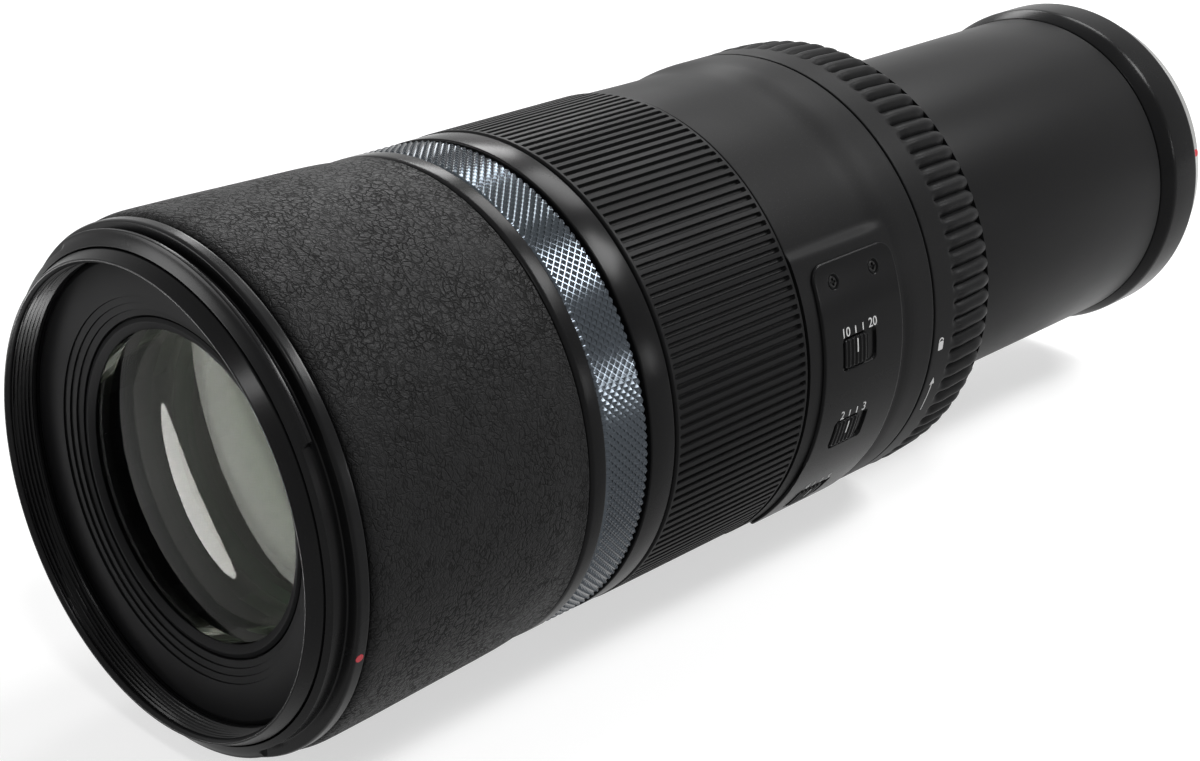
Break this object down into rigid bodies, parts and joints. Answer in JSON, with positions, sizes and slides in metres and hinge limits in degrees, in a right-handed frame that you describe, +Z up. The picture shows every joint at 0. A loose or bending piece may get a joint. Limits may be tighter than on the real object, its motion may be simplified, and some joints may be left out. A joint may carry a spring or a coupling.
{
  "type": "super telephoto lens",
  "caption": "Collapsible super-telephoto camera lens drawn out on its rear tube, with leather grip, knurled and ribbed rings, lock ring, side switches, tripod foot and bayonet.",
  "frame": {"origin": "middle of the length, on the ground under the optical axis", "axes": "+Y along the level optical axis from the front glass to the bayonet, +Z up, switch panel on +X"},
  "size_m": [0.093, 0.275, 0.093],
  "materials": {
    "satin_black": "satin black",
    "matte_black": "fine matte black",
    "grip_rubber": "matte charcoal rubber",
    "gunmetal": "diamond knurled, blue grey",
    "steel": "turned",
    "bright_chrome": "satin chrome",
    "brass": "turned",
    "copper": "lacquered copper",
    "gold": "gilt",
    "coated_glass": "green coated, polished",
    "board_green": "solder resist",
    "felt_black": "napped"
  },
  "bodies": {
    "barrel": {"aperture_stop": "matte_black", "felt_seal": "felt_black", "filter_ring": "satin_black", "focus_base": "matte_black", "focus_motor": "steel", "front_barrel": "matte_black", "front_cell": "matte_black", "glass_doublet": "coated_glass", "glass_front": "coated_glass", "glass_rear": "coated_glass", "glass_retainer": "satin_black", "glass_sixth": "coated_glass", "glass_third": "coated_glass", "grip_lip": "satin_black", "guide_rod_1": "steel", "guide_rod_2": "steel", "guide_sleeve": "matte_black", "hood_flange": "satin_black", "leather_sleeve": "grip_rubber", "magnet_x": "steel", "magnet_z": "steel", "main_barrel": "matte_black", "main_board": "board_green", "name_ring": "matte_black", "panel_screw_1": "steel", "panel_screw_2": "steel", "plain_band": "satin_black", "rear_body": "matte_black", "rear_cell": "matte_black", "steady_base": "matte_black", "switch_panel": "satin_black", "tripod_foot": "grip_rubber", "tripod_socket": "steel"},
    "rear_tube": {"rear_tube": "satin_black", "mount_collar": "satin_black", "mount_plate": "bright_chrome", "mount_screw_1": "steel", "mount_screw_2": "steel", "mount_screw_3": "steel", "mount_screw_4": "steel", "rear_baffle": "matte_black", "contact_block": "matte_black", "contact_strip": "gold", "guide_key_1": "brass", "guide_key_2": "brass"},
    "control_ring": {"control_ring": "gunmetal"},
    "focus_ring": {"focus_ring": "matte_black", "focus_grip": "grip_rubber"},
    "lock_ring": {"lock_ring": "matte_black"},
    "range_switch": {"range_switch": "satin_black"},
    "focus_mode_switch": {"focus_mode_switch": "satin_black"},
    "steady_switch": {"steady_switch": "satin_black"},
    "focus_stage": {"focus_carrier": "matte_black", "glass_focus": "coated_glass"},
    "lead_screw": {"lead_screw": "brass"},
    "steady_frame": {"steady_frame": "matte_black", "coil_x": "copper"},
    "steady_carrier": {"steady_carrier": "matte_black", "glass_steady": "coated_glass", "coil_z": "copper"}
  },
  "joints": [
    {"name": "tube_slide", "type": "slide", "parent": "barrel", "child": "rear_tube", "axis": [0, -1, 0], "range_m": [0, 0.07]},
    {"name": "control_ring_turn", "type": "hinge", "parent": "barrel", "child": "control_ring", "pos_m": [0, -0.0717, 0.0465], "axis": [0, 1, 0], "continuous": true},
    {"name": "focus_ring_turn", "type": "hinge", "parent": "barrel", "child": "focus_ring", "pos_m": [0, -0.0422, 0.0465], "axis": [0, 1, 0], "continuous": true},
    {"name": "lock_ring_turn", "type": "hinge", "parent": "barrel", "child": "lock_ring", "pos_m": [0, 0.0235, 0.0465], "axis": [0, 1, 0], "range_deg": [0, 28]},
    {"name": "range_switch_slide", "type": "slide", "parent": "barrel", "child": "range_switch", "axis": [0, 1, 0], "range_m": [0, 0.0022]},
    {"name": "focus_mode_switch_slide", "type": "slide", "parent": "barrel", "child": "focus_mode_switch", "axis": [0, 1, 0], "range_m": [0, 0.0022]},
    {"name": "steady_switch_slide", "type": "slide", "parent": "barrel", "child": "steady_switch", "axis": [0, 1, 0], "range_m": [0, 0.0022]},
    {"name": "focus_slide", "type": "slide", "parent": "barrel", "child": "focus_stage", "axis": [0, 1, 0], "range_m": [-0.0025, 0.0025]},
    {"name": "lead_screw_turn", "type": "hinge", "parent": "barrel", "child": "lead_screw", "pos_m": [0.01893, -0.0875, 0.07353], "axis": [0, 1, 0], "range_deg": [-452, 452]},
    {"name": "steady_across", "type": "slide", "parent": "barrel", "child": "steady_frame", "axis": [1, 0, 0], "range_m": [-0.001, 0.001], "stiffness_N_per_m": 1500},
    {"name": "steady_up", "type": "slide", "parent": "steady_frame", "child": "steady_carrier", "axis": [0, 0, 1], "range_m": [-0.001, 0.001], "stiffness_N_per_m": 3000}
  ],
  "couplings": [
    {"joint": "lead_screw_turn", "follows": "focus_slide", "rad_per_m": 3141.6}
  ]
}
